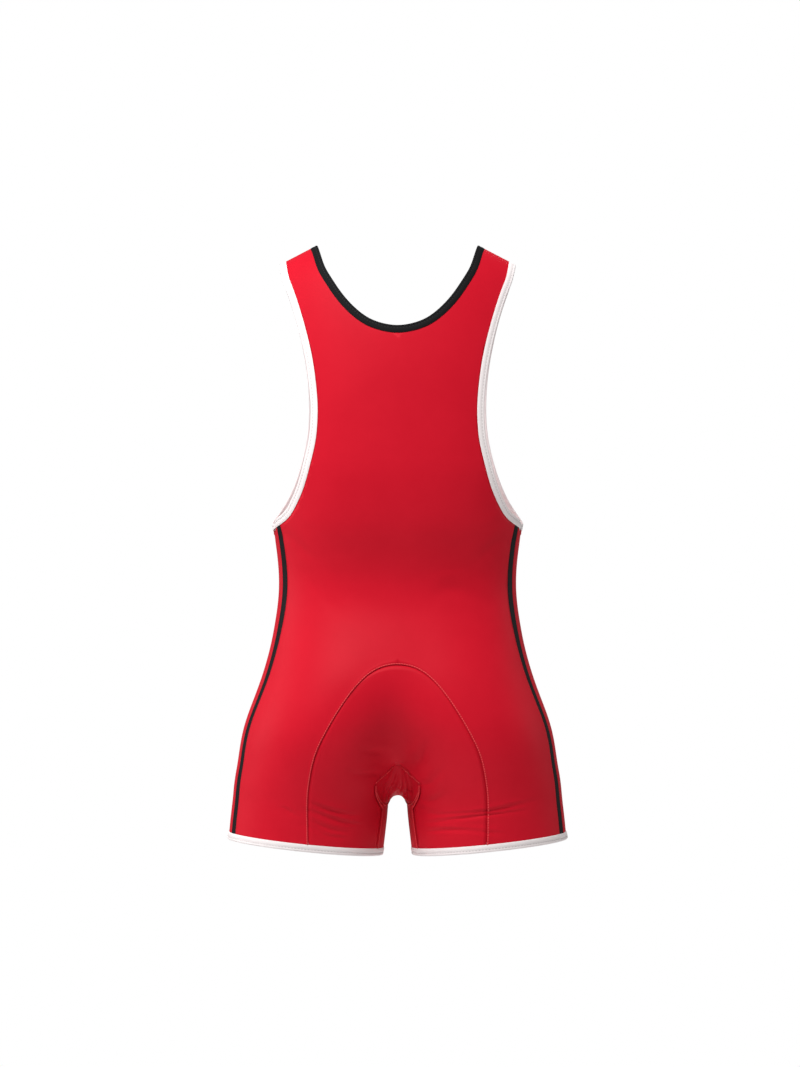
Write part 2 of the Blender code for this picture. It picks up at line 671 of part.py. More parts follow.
def add_front_panel(edges):
    """The front: rows across the trunk and leg, and a patch round the inside of the leg."""
    apex = edges["centre_front"][-1][0]
    bottom = leg_top(apex)
    top = edges["centre_front"][-1][1]
    column = [(apex, top + (bottom - top) * k / INSEAM_TOP_STEPS)
              for k in range(INSEAM_TOP_STEPS + 1)]
    column = column[:-1] + down_leg(apex, apex)
    left = edges["neck_front"] + edges["centre_front"][1:] + column[1:]
    right = edges["armhole_front"] + edges["stripe_front"][1:]
    rows = level_hem(between(left, right, PANEL_STEPS))
    turn = math.radians(360)
    inner = []
    seam = [(a + turn, z) for a, z in edges["inseam"]]
    tip = edges["gusset_front"][0][0]
    for i in range(INSEAM_TOP_STEPS + 1):
        t = i / INSEAM_TOP_STEPS
        row = [seam[i]]
        for k in range(1, INNER_LEG_STEPS):
            s = k / INNER_LEG_STEPS
            angle_top, level_top = edges["gusset_front"][k]
            share = (angle_top - tip) / (apex - tip) * (1 - t) + s * t
            angle = seam[i][0] + (apex - seam[i][0]) * share
            row.append((angle, level_top * (1 - t) + leg_top(angle) * t))
        row.append(column[i])
        inner.append(row)
    for i in range(1, LEG_STEPS + 1):
        start = seam[INSEAM_TOP_STEPS + i][0]
        angles = [start + (apex - start) * k / INNER_LEG_STEPS for k in range(INNER_LEG_STEPS + 1)]
        inner.append([(a, leg_top(a) - LEG_ZONE * i / LEG_STEPS) for a in angles])
    patches = [[points_of(row) for row in part] for part in (rows, inner)]
    add_panel("front_panel", patches, Vector((0, 1, 0)), RED)
    return inner[-1] + rows[-1][1:]


def add_stripe(edges, side):
    rows = between(edges["stripe_back"], edges["stripe_front"], STRIPE_STEPS)
    rows = level_hem(rows)
    rows[0] = edges["stripe_top"]
    points = [points_of(row) for row in rows]
    if side < 0:
        points = [[mirrored(p) for p in row] for row in points]
    name = "side_stripe_right" if side > 0 else "side_stripe_left"
    add_panel(name, [points], Vector((side, 0, 0)), BLACK, whole=False)
    return rows[-1]


# Bound edges

def tape_section():
    """Half-round folded tape: how far across from the cloth's edge, and how far out."""
    near = SEAM_GAP
    top = TAPE_PROUD
    low = TAPE_PROUD - TAPE_THICKNESS
    r = TAPE_THICKNESS * 0.35
    return ((near, top), (TAPE_WIDTH / 2, top), (TAPE_WIDTH - r, top), (TAPE_WIDTH, top - r),
            (TAPE_WIDTH, low + r), (TAPE_WIDTH - r, low), (near, low))


def add_binding(name, places, centre, colour, closed, side=1):
    """Tape round an edge: rings of the tape's section at each place, facing away from centre."""
    points = points_of(places)
    mesh = bmesh.new()
    rings = []
    count = len(points)
    for i, p in enumerate(points):
        before = points[i - 1] if closed or i else mirrored(points[1])
        after = points[(i + 1) % count] if closed or i < count - 1 else mirrored(points[-2])
        along = (after - before).normalized()
        out = facing(p)
        across = along.cross(out).normalized()
        if across.dot(centre - p) < 0:
            across.negate()
        if p.x == 0.0:
            across.x = 0.0
            across.normalize()
        out = along.cross(across).normalized() * (1 if along.cross(across).dot(out) > 0 else -1)
        ring = [p + across * u + out * v for u, v in tape_section()]
        if side < 0:
            ring = [mirrored(q) for q in ring]
        rings.append([mesh.verts.new(q) for q in ring])
    pairs = list(zip(rings, rings[1:]))
    if closed:
        pairs.append((rings[-1], rings[0]))
    for a, b in pairs:
        for k in range(len(a)):
            n = (k + 1) % len(a)
            mesh.faces.new((a[k], a[n], b[n], b[k]))
    mesh.normal_update()
    outer = facing(points[1])
    if side < 0:
        outer.x = -outer.x
    if sum(f.normal.dot(outer) for f in rings[1][1].link_faces) < 0:
        bmesh.ops.reverse_faces(mesh, faces=mesh.faces)
    tape = new_object(name, mesh, colour, TAPE_ROUGHNESS)
    if not closed:
        mirror = tape.modifiers.new("other_half", "MIRROR")
        mirror.use_axis = (True, False, False)
        mirror.merge_threshold = WELD
    return tape


for old in list(bpy.data.objects):
    bpy.data.objects.remove(old, do_unlink=True)
singlet = bpy.data.collections.new("wrestling_singlet")
bpy.context.scene.collection.children.link(singlet)

edges = half_edges()
back_hem = add_back_panel(edges)
seat_hem = add_seat_panel(edges)
add_gusset(edges)
front_hem = add_front_panel(edges)
for side in (1, -1):
    stripe_hem = add_stripe(edges, side)

neck = edges["neck_back"][::-1] + edges["neck_front"][1:]
add_binding("neck_binding", neck, NECK_CENTRE, BLACK, closed=False)
armhole = edges["armhole_back"] + edges["stripe_top"][1:] + edges["armhole_front"][::-1][1:-1]
hem = seat_hem + back_hem[1:] + stripe_hem[1:] + front_hem[::-1][1:-1]
for side, label in ((1, "right"), (-1, "left")):
    add_binding("armhole_binding_" + label, armhole, ARMHOLE_CENTRE, WHITE, True, side)
    add_binding("leg_binding_" + label, hem, LEG_CENTRE, WHITE, True, side)
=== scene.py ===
"""The looks of a wrestling singlet: red stretch knit, black stripes, black and white bindings."""
import math

import bmesh
import bpy
from mathutils import Matrix, Vector
from mathutils.bvhtree import BVHTree


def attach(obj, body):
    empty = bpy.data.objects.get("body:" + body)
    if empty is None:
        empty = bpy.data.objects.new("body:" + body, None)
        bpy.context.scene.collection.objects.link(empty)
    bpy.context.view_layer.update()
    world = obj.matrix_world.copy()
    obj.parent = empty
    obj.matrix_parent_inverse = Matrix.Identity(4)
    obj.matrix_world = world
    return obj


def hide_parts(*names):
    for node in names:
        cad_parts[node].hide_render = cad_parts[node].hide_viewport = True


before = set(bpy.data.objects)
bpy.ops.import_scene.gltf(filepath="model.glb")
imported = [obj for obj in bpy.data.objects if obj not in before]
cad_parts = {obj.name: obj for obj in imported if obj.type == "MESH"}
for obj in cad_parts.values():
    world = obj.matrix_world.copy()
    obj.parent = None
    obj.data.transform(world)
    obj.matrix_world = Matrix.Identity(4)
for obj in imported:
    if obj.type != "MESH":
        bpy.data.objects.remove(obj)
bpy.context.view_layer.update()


# The camera and the room
# The singlet is seen square from behind, at about half its height, from 3.5 m away.
# It hangs over a plain pale floor in soft white light, with the main light high on the left.

CAMERA_AWAY = 3.5
VIEW_HEIGHT = 1.302
VIEW_MIDDLE = (0.003, -0.336)
SENSOR = 36.0
FLOOR_RADIUS = 2.9
FLOOR_HEIGHT = -1.6
FLOOR_WHITE = (0.86, 0.86, 0.86, 1.0)
LIGHTS_AIM = (0.0, 0.0, -0.35)

lens = bpy.data.cameras.new("camera")
lens.sensor_width = SENSOR
lens.lens = SENSOR * CAMERA_AWAY / VIEW_HEIGHT
camera = bpy.data.objects.new("camera", lens)
camera.location = (VIEW_MIDDLE[0], -CAMERA_AWAY, VIEW_MIDDLE[1])
camera.rotation_euler = (math.radians(90), 0.0, 0.0)
bpy.context.scene.collection.objects.link(camera)
bpy.context.scene.camera = camera
bpy.context.scene.view_settings.view_transform = "Standard"

floor_mesh = bmesh.new()
bmesh.ops.create_circle(floor_mesh, cap_ends=True, segments=96, radius=FLOOR_RADIUS)
bmesh.ops.translate(floor_mesh, verts=floor_mesh.verts, vec=(0.0, 0.0, FLOOR_HEIGHT))
floor_data = bpy.data.meshes.new("floor")
floor_mesh.to_mesh(floor_data)
floor_mesh.free()
floor = bpy.data.objects.new("floor", floor_data)
bpy.context.scene.collection.objects.link(floor)
pale_floor = bpy.data.materials.new("pale_floor")
pale_floor.use_nodes = True
floor_shader = pale_floor.node_tree.nodes["Principled BSDF"]
floor_shader.inputs["Base Color"].default_value = FLOOR_WHITE
floor_shader.inputs["Roughness"].default_value = 0.8
floor_data.materials.append(pale_floor)


def add_light(name, place, size, power, shine=True):
    """A square soft light that faces the singlet, with or without its shine on the cloth."""
    data = bpy.data.lights.new(name, "AREA")
    data.size = size
    data.energy = power
    light = bpy.data.objects.new(name, data)
    light.location = place
    light.visible_glossy = shine
    light.rotation_euler = (Vector(LIGHTS_AIM) - Vector(place)).to_track_quat("-Z", "Y").to_euler()
    bpy.context.scene.collection.objects.link(light)


add_light("key_light", (-0.85, -1.9, 2.30), 1.5, 136.0)
add_light("left_light", (-2.6, 0.1, 0.1), 1.6, 30.0)
add_light("right_light", (2.6, 0.5, 0.0), 1.2, 10.0)
add_light("front_light", (0.6, 3.0, 1.2), 2.0, 70.0, shine=False)

room = bpy.data.worlds.new("room")
room.use_nodes = True
air = room.node_tree
soft = air.nodes["Background"]
soft.inputs["Color"].default_value = (1.0, 0.98, 0.97, 1.0)
soft.inputs["Strength"].default_value = 0.22
white = air.nodes.new("ShaderNodeBackground")
white.inputs["Color"].default_value = (1.0, 1.0, 1.0, 1.0)
ray = air.nodes.new("ShaderNodeLightPath")
either = air.nodes.new("ShaderNodeMixShader")
air.links.new(ray.outputs["Is Camera Ray"], either.inputs["Fac"])
air.links.new(soft.outputs["Background"], either.inputs[1])
air.links.new(white.outputs["Background"], either.inputs[2])
air.links.new(either.outputs["Shader"], air.nodes["World Output"].inputs["Surface"])
bpy.context.scene.world = room


# The back panel
# One piece of red stretch knit, from both shoulders to the hems, with an arch cut out for the
# seat. The knit is worn stretched, so it lies smooth, with fine creases at the legs.

KNIT_THICKNESS = 0.0009
MERGE_DISTANCE = 0.00005
RIM_ANGLE = math.radians(52)
JOIN_BEND = math.radians(60)
JOIN_SKEW = math.radians(180)
CORNER = math.radians(142)
SMOOTH_ROUNDS = 4
RED_LIGHT = (0.610, 0.0090, 0.0240, 1.0)
RED_DEEP = (0.520, 0.0050, 0.0175, 1.0)
RED_REVERSE = (0.480, 0.0150, 0.0280, 1.0)
WALE = 0.0008
COURSE = 0.0006
KNIT_RELIEF = 0.0002

# A wave texture of scale 1 repeats at this step
WAVE_STEP = math.tau / 20

# Creases drawn in the cloth by its own pull. Each is a soft trough with a low ridge beside it,
# from a start to an end point, with its half width and depth in millimetres.
CREASE_REACH = 0.035
CREASE_COLUMNS = ("start", "end", "width", "depth")
CREASES = (
    # The back of the right leg, above the hem
    ((0.172, -0.060, -0.6530), (0.026, -0.085, -0.6715), 2.5, 1.2),
    ((0.156, -0.070, -0.6630), (0.029, -0.080, -0.6820), 2.3, 1.4),
    ((0.129, -0.090, -0.6870), (0.029, -0.070, -0.6960), 2.4, 1.1),
    ((0.060, -0.095, -0.6440), (0.024, -0.060, -0.6560), 2.8, 0.9),
    # The back of the left leg, above the hem
    ((-0.113, -0.095, -0.6540), (-0.041, -0.088, -0.6715), 2.3, 1.3),
    ((-0.1145, -0.095, -0.6640), (-0.035, -0.080, -0.6835), 2.3, 1.3),
    ((-0.113, -0.095, -0.6760), (-0.055, -0.090, -0.6905), 2.4, 1.1),
    ((-0.112, -0.095, -0.6850), (-0.058, -0.088, -0.6975), 2.3, 0.8),
    ((-0.140, -0.085, -0.6610), (-0.112, -0.095, -0.6715), 2.2, 0.7),
    # The gusset's gathers, from its back point and then from its front point
    ((-0.002, -0.067, -0.6160), (-0.024, -0.034, -0.6510), 2.3, 2.4),
    ((-0.001, -0.067, -0.6160), (-0.010, -0.018, -0.6620), 2.2, 2.6),
    ((0.000, -0.067, -0.6160), (0.002, -0.016, -0.6630), 2.1, 2.4),
    ((0.001, -0.067, -0.6160), (0.012, -0.020, -0.6610), 2.2, 2.6),
    ((0.002, -0.067, -0.6160), (0.025, -0.036, -0.6490), 2.3, 2.3),
    ((0.001, 0.018, -0.6380), (-0.015, -0.012, -0.6620), 2.3, 0.8),
    ((-0.001, 0.018, -0.6380), (0.014, -0.013, -0.6620), 2.4, 0.9),
    # Under the seat
    ((0.040, -0.118, -0.5900), (0.006, -0.070, -0.6150), 5.0, 1.3),
    ((-0.042, -0.118, -0.5860), (-0.006, -0.070, -0.6130), 5.0, 1.2),
    ((0.055, -0.110, -0.6180), (0.020, -0.068, -0.6360), 4.0, 0.9),
    ((-0.050, -0.110, -0.6150), (-0.020, -0.068, -0.6330), 4.0, 1.0),
    # The waist at the back, and the back below the armholes
    ((0.120, -0.066, -0.4060), (0.040, -0.088, -0.4210), 9.0, 0.8),
    ((-0.128, -0.060, -0.3960), (-0.060, -0.086, -0.4110), 9.0, 0.7),
    ((0.150, -0.040, -0.3480), (0.100, -0.085, -0.3640), 7.0, 0.6),
    ((-0.150, -0.040, -0.3450), (-0.104, -0.085, -0.3590), 7.0, 0.6),
    # The groin, and the inside of each leg at the front
    ((0.170, 0.060, -0.5560), (0.050, 0.098, -0.6080), 7.0, 2.6),
    ((-0.172, 0.058, -0.5500), (-0.046, 0.098, -0.6020), 7.0, 2.4),
    ((0.150, 0.075, -0.5850), (0.046, 0.095, -0.6280), 5.0, 1.8),
    ((-0.145, 0.080, -0.5800), (-0.050, 0.095, -0.6240), 5.0, 1.9),
    ((0.070, 0.093, -0.6420), (0.018, 0.040, -0.6560), 3.6, 1.5),
    ((-0.074, 0.093, -0.6400), (-0.018, 0.040, -0.6560), 3.6, 1.4),
    # The front of each leg, above the hem
    ((0.175, 0.060, -0.6640), (0.060, 0.085, -0.6820), 2.6, 1.4),
    ((-0.165, 0.070, -0.6700), (-0.070, 0.088, -0.6860), 2.6, 1.4),
    ((0.160, 0.075, -0.6790), (0.080, 0.092, -0.6930), 2.5, 1.2),
    ((-0.180, 0.050, -0.6560), (-0.060, 0.085, -0.6720), 2.5, 1.3),
    # The waist at the front, and the chest beside the armholes
    ((0.118, 0.094, -0.4120), (0.030, 0.102, -0.4260), 9.0, 1.9),
    ((-0.124, 0.092, -0.4040), (-0.040, 0.102, -0.4190), 9.0, 1.7),
    ((0.112, 0.105, -0.2820), (0.060, 0.116, -0.2990), 6.0, 1.2),
    ((-0.114, 0.105, -0.2800), (-0.064, 0.116, -0.2960), 6.0, 1.2),
)

# In half widths of a crease: how far it spreads and bends, and how far off and wide its ridge is
CREASE_SPREAD = 5
BEND = 1.6
RIDGE_AWAY = 2.0
RIDGE_WIDTH = 1.2

# The ridge's height as a share of the crease's depth, and the share by which both swell and fade
RIDGE_HEIGHT = 0.45
SWELL = 0.3

# How fast a crease bends and swells along its run, and how that shifts with where it starts
BEND_WAVE = 4.1
BEND_PHASE = 40
SWELL_WAVE = 9.0
SWELL_PHASE = 90


def outer_face(node, beside):
    """A merged copy of the outer face of a node's wall, found from a point beside the singlet."""
    cloth = bmesh.new()
    cloth.from_mesh(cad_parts[node].data)
    bmesh.ops.remove_doubles(cloth, verts=cloth.verts, dist=MERGE_DISTANCE)
    cloth.normal_update()
    found = min(cloth.faces, key=lambda f: (f.calc_center_median() - Vector(beside)).length)
    kept = {found}
    waiting = [found]
    while waiting:
        for e in waiting.pop().edges:
            if e.is_manifold and e.calc_face_angle() < RIM_ANGLE:
                for f in e.link_faces:
                    if f not in kept:
                        kept.add(f)
                        waiting.append(f)
    bmesh.ops.delete(cloth, geom=[f for f in cloth.faces if f not in kept], context="FACES")
    bmesh.ops.join_triangles(cloth, faces=cloth.faces, angle_face_threshold=JOIN_BEND,
                             angle_shape_threshold=JOIN_SKEW, topology_influence=1.0)
    return cloth


def keep_corners(cloth):
    """Hold the corners of the cut sharp when the edges are smoothed."""
    held = cloth.verts.layers.float.new("crease_vert")
    for v in cloth.verts:
        rim = [e.other_vert(v).co - v.co for e in v.link_edges if e.is_boundary]
        if len(rim) == 2 and rim[0].angle(rim[1]) < CORNER:
            v[held] = 1.0


def lay_flat(piece):
    """Unfold a panel into its UV map, in real metres with the knit's wales upright."""
    bpy.context.view_layer.objects.active = piece
    piece.select_set(True)
    bpy.ops.object.mode_set(mode="EDIT")
    bpy.ops.mesh.select_all(action="SELECT")
    bpy.ops.uv.unwrap(method="ANGLE_BASED", margin=0.0)
    bpy.ops.object.mode_set(mode="OBJECT")
    piece.select_set(False)
    cloth = bmesh.new()
    cloth.from_mesh(piece.data)
    flat = cloth.loops.layers.uv.active
    drawn = 0.0
    real = 0.0
    upright = 0j
    for f in cloth.faces:
        a, b, c = [loop[flat].uv for loop in f.loops[:3]]
        drawn += abs((b - a).cross(c - a))
        p, q, r = [loop.vert.co for loop in f.loops[:3]]
        real += (q - p).cross(r - p).length
        for start, end, low, high in ((a, b, p.z, q.z), (b, c, q.z, r.z)):
            upright += complex(*(end - start)) * (high - low)
    scale = math.sqrt(real / drawn)
    turn = abs(upright) / upright * 1j * scale
    for f in cloth.faces:
        for loop in f.loops:
            place = complex(*loop[flat].uv) * turn
            loop[flat].uv = (place.real, place.imag)
    cloth.to_mesh(piece.data)
    cloth.free()


def press_creases(cloth):
    """Draw the creases into a smooth panel, each uneven along its run."""
    cloth.normal_update()
    moves = {}
    for row in CREASES:
        crease = dict(zip(CREASE_COLUMNS, row))
        start = Vector(crease["start"])
        run = Vector(crease["end"]) - start
        width = crease["width"] / 1000
        for v in cloth.verts:
            along = (v.co - start).dot(run) / run.length_squared
            if not 0.0 < along < 1.0:
                continue
            beside = run.cross(v.normal).normalized()
            if beside.z + beside.x / 2 < 0:
                beside.negate()
            off = v.co - start - run * along
            bend = BEND * width * math.sin(along * BEND_WAVE + start.x * BEND_PHASE)
            height = off.dot(beside) - bend
            if abs(height) > CREASE_SPREAD * width or off.length > CREASE_REACH:
                continue
            trough = math.exp(-(height / width)**2)
            from_ridge = (height - RIDGE_AWAY * width) / (RIDGE_WIDTH * width)
            ridge = RIDGE_HEIGHT * math.exp(-from_ridge**2)
            swell = 1.0 + SWELL * math.sin(along * SWELL_WAVE + start.z * SWELL_PHASE)
            uneven = math.sin(math.pi * along) * swell
            moves[v] = moves.get(v, 0.0) + (ridge - trough) * uneven * crease["depth"] / 1000
    for v, move in moves.items():
        v.co += v.normal * move


def add_knit_panel(node, beside, materials):
    """A thin shell of knit on the form of a CAD panel, with its creases, right side out."""
    cloth = outer_face(node, beside)
    keep_corners(cloth)
    data = bpy.data.meshes.new(node + "_cut")
    cloth.to_mesh(data)
    cloth.free()
    cut = bpy.data.objects.new(node + "_cut", data)
    bpy.context.scene.collection.objects.link(cut)
    lay_flat(cut)
    smooth = cut.modifiers.new("smooth", "SUBSURF")
    smooth.levels = 2
    smooth.render_levels = 2
    smooth.boundary_smooth = "PRESERVE_CORNERS"
    seen = cut.evaluated_get(bpy.context.evaluated_depsgraph_get())
    fine = bmesh.new()
    fine.from_mesh(seen.to_mesh())
    seen.to_mesh_clear()
    bpy.data.objects.remove(cut)
    inner = [v for v in fine.verts if not v.is_boundary]
    for _ in range(SMOOTH_ROUNDS):
        bmesh.ops.smooth_vert(fine, verts=inner, factor=0.5, use_axis_x=True, use_axis_y=True,
                              use_axis_z=True)
    press_creases(fine)
    data = bpy.data.meshes.new(node + "_knit")
    fine.to_mesh(data)
    fine.free()
    data.shade_smooth()
    for material in materials:
        data.materials.append(material)
    piece = bpy.data.objects.new(node + "_knit", data)
    bpy.context.scene.collection.objects.link(piece)
    wall = piece.modifiers.new("wall", "SOLIDIFY")
    wall.thickness = KNIT_THICKNESS
    wall.offset = -1.0
    wall.use_even_offset = False
    wall.material_offset = 1
    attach(piece, "root")
    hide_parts(node)
    return piece


def knit_pattern():
    """Node group: the wales and courses of a fine jersey, and its slight mottle."""
    group = bpy.data.node_groups.new("jersey", "ShaderNodeTree")
    group.interface.new_socket("Height", in_out="OUTPUT", socket_type="NodeSocketFloat")
    group.interface.new_socket("Mottle", in_out="OUTPUT", socket_type="NodeSocketFloat")
    nodes = group.nodes
    link = group.links.new
    out = nodes.new("NodeGroupOutput")
    flat = nodes.new("ShaderNodeUVMap")
    heights = []
    for direction, pitch in (("X", WALE), ("Y", COURSE)):
        wave = nodes.new("ShaderNodeTexWave")
        wave.bands_direction = direction
        wave.inputs["Scale"].default_value = WAVE_STEP / pitch
        wave.inputs["Distortion"].default_value = 0.0
        link(flat.outputs["UV"], wave.inputs["Vector"])
        heights.append(wave.outputs["Fac"])
    loops = nodes.new("ShaderNodeMath")
    loops.operation = "MULTIPLY"
    link(heights[0], loops.inputs[0])
    link(heights[1], loops.inputs[1])
    link(loops.outputs["Value"], out.inputs["Height"])
    here = nodes.new("ShaderNodeTexCoord")
    cloudy = nodes.new("ShaderNodeTexNoise")
    cloudy.inputs["Scale"].default_value = 14.0
    cloudy.inputs["Detail"].default_value = 5.0
    cloudy.inputs["Roughness"].default_value = 0.6
    link(here.outputs["Object"], cloudy.inputs["Vector"])
    link(cloudy.outputs["Fac"], out.inputs["Mottle"])
    return group


def knit_material(name, light, deep, roughness, gloss, bump):
    """Stretch knit: two near tones and a low satin gloss."""
    material = bpy.data.materials.new(name)
    material.use_nodes = True
    nodes = material.node_tree.nodes
    link = material.node_tree.links.new
    shader = nodes["Principled BSDF"]
    pattern = nodes.new("ShaderNodeGroup")
    pattern.node_tree = jersey
    tone = nodes.new("ShaderNodeMix")
    tone.data_type = "RGBA"
    tone.inputs["A"].default_value = deep
    tone.inputs["B"].default_value = light
    link(pattern.outputs["Mottle"], tone.inputs["Factor"])
    link(tone.outputs["Result"], shader.inputs["Base Color"])
    relief = nodes.new("ShaderNodeBump")
    relief.inputs["Strength"].default_value = bump
    relief.inputs["Distance"].default_value = KNIT_RELIEF
    link(pattern.outputs["Height"], relief.inputs["Height"])
    link(relief.outputs["Normal"], shader.inputs["Normal"])
    shader.inputs["Roughness"].default_value = roughness
    shader.inputs["Specular IOR Level"].default_value = gloss
    return material


jersey = knit_pattern()
red_knit = knit_material("red_knit", RED_LIGHT, RED_DEEP, roughness=0.5, gloss=0.07, bump=0.12)
red_reverse = knit_material("red_reverse", RED_REVERSE, RED_DEEP, roughness=0.8, gloss=0.05,
                            bump=0.2)

back_panel = add_knit_panel("back_panel", (0.0, -0.6, -0.35), (red_knit, red_reverse))


# The seat panel
# A tongue of the same red knit inside the arched seam. It shapes the seat and runs down the
# inner half of the back of each leg, and it is sewn to the back, the gusset and the front.

seat_panel = add_knit_panel("seat_panel", (0.06, -0.5, -0.60), (red_knit, red_reverse))


# The gusset
# A small diamond of red knit let in between the legs, so that the seams don't meet in a point.
# The pull of the legs gathers it into a few short folds.

gusset = add_knit_panel("gusset", (0.0, 0.02, -0.72), (red_knit, red_reverse))


# The front panel
# One piece of red knit, from the shoulders to the hems and round the inside of each leg.
# It is finished plainly, with soft creases at the waist, the groin and the hems.

front_panel = add_knit_panel("front_panel", (0.0, 0.6, -0.35), (red_knit, red_reverse))


# The side stripes
# Straight strips of black knit, 12 mm wide, let in between the back and the front.
# Each runs from the armhole to the hem and bends with the hip.

BLACK_LIGHT = (0.0090, 0.0085, 0.0095, 1.0)
# The darker black is a random mottle on the black knit. On the black tape it is painted shade in
# the grooves between the ribs.
BLACK_MOTTLE_AND_RIB_SHADE = (0.0050, 0.0050, 0.0055, 1.0)
black_knit = knit_material("black_knit", BLACK_LIGHT, BLACK_MOTTLE_AND_RIB_SHADE, roughness=0.5, gloss=0.08,
                           bump=0.12)
black_reverse = knit_material("black_reverse", BLACK_LIGHT, BLACK_MOTTLE_AND_RIB_SHADE, roughness=0.8, gloss=0.05,
                              bump=0.3)
stripes = []
for side, across in (("left", -1), ("right", 1)):
    stripe = add_knit_panel("side_stripe_" + side, (across * 0.6, -0.3, -0.5),
                            (black_knit, black_reverse))
    stripes.append(stripe)


# The seams
# Round the seat and the gusset the outer panel lies a little proud and carries a row of stitches
# in a paler red. The shoulder and stripe seams show only their line, with no thread on the face.

SEAM_REACH = 0.0011
SEAM_SPREAD = 0.0036
SEAM_RISE = 0.00050
SEAM_SINK = 0.00040
SHORTEST_SEAM = 4
STITCH_PITCH = 0.0030
STITCH_LENGTH = 0.0026
STITCH_INSET = 0.0013
THREAD_WIDTH = 0.0014
THREAD_HEIGHT = 0.00060
THREAD_LIFT = 0.3
THREAD_DEEP = 0.7
RED_THREAD = (0.900, 0.0750, 0.0850, 1.0)
SHARP_EDGE = math.radians(60)
CLOSING_GAP = 0.00001

# Round the seam allowance inside, bent down at both sides: away from the seam, and out of the
# cloth
ALLOWANCE = [(-0.0035, -0.0017), (0.0, -0.00105), (0.0035, -0.0017), (0.0035, -0.0022),
             (0.0, -0.00155), (-0.0035, -0.0022)]


def panel_tree(panels):
    """The outer faces of some panels, to find the nearest place and direction on them."""
    points = []
    faces = []
    for panel in panels:
        first = len(points)
        points.extend(v.co for v in panel.data.vertices)
        faces.extend([first + i for i in p.vertices] for p in panel.data.polygons)
    return BVHTree.FromPolygons(points, faces)


def step_seam(inner, outer):
    """Lift the outer panel and sink the inner one a little where they meet."""
    moves = []
    for panel, other, rise in ((inner, outer, -SEAM_SINK), (outer, inner, SEAM_RISE)):
        beside = panel_tree([other])
        for v in panel.data.vertices:
            away = beside.find_nearest(v.co)[3]
            if away < SEAM_SPREAD:
                moves.append((v, v.normal * rise * (1 - (away / SEAM_SPREAD)**2)))
    for v, move in moves:
        v.co += move


def seam_lines(one, other):
    """Where the edge of one panel lies against another, as lines of points in order."""
    cloth = bmesh.new()
    cloth.from_mesh(one.data)
    beside = panel_tree([other])
    near = {v for v in cloth.verts
            if v.is_boundary and beside.find_nearest(v.co)[3] < SEAM_REACH}

    def next_ones(v):
        return [e.other_vert(v) for e in v.link_edges
                if e.is_boundary and e.other_vert(v) in near]
    lines = []
    while near:
        here = min(near, key=lambda v: (len(next_ones(v)), v.co.x, v.co.z))
        line = []
        while here:
            near.discard(here)
            line.append(here.co.copy())
            here = next(iter(next_ones(here)), None)
        if len(line) >= SHORTEST_SEAM:
            lines.append(line)
    cloth.free()
    return lines


def even_points(line, pitch):
    """Points at an even pitch along a line."""
    lengths = [0.0]
    for a, b in zip(line, line[1:]):
        lengths.append(lengths[-1] + (b - a).length)
    count = max(round(lengths[-1] / pitch), 2)
    points = []
    i = 0
    for k in range(count + 1):
        goal = lengths[-1] * k / count
        while i < len(line) - 2 and lengths[i + 1] < goal:
            i += 1
        share = (goal - lengths[i]) / max(lengths[i + 1] - lengths[i], 0.000001)
        points.append(line[i].lerp(line[i + 1], min(share, 1.0)))
    return points


def frames_along(points, tree, closed=False):
    """At each point, the direction along the line, across it in the cloth, and out of the cloth."""
    frames = []
    count = len(points)
    for i, p in enumerate(points):
        before = points[i - 1] if closed or i else p
        after = points[(i + 1) % count] if closed or i < count - 1 else p
        along = (after - before).normalized()
        out = tree.find_nearest(p)[1]
        across = along.cross(out).normalized()
        frames.append((p, along, across, across.cross(along).normalized()))
    return frames


def cloth_side(frames, tree, step):
    """1 if the cloth of a tree lies across a line's frames, -1 if it lies the other way."""
    beyond = sum(tree.find_nearest(p + across * step)[3] - tree.find_nearest(p - across * step)[3]
                 for p, _, across, _ in frames)
    return 1 if beyond < 0 else -1


def add_stitch(thread, place, along, across, out):
    """One stitch: a bead of thread that lies along the seam."""
    lie = Matrix((across * (THREAD_WIDTH / 2), out * (THREAD_HEIGHT / 2),
                  along * (STITCH_LENGTH / 2))).transposed().to_4x4()
    lie.translation = place
    bmesh.ops.create_uvsphere(thread, u_segments=6, v_segments=4, radius=1.0, matrix=lie)


def sewn_piece(name, mesh, material):
    """A finished piece of thread or tape from its bmesh."""
    data = bpy.data.meshes.new(name)
    mesh.to_mesh(data)
    mesh.free()
    data.shade_smooth()
    data.set_sharp_from_angle(angle=SHARP_EDGE)
    data.materials.append(material)
    piece = bpy.data.objects.new(name, data)
    bpy.context.scene.collection.objects.link(piece)
    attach(piece, "root")
    return piece


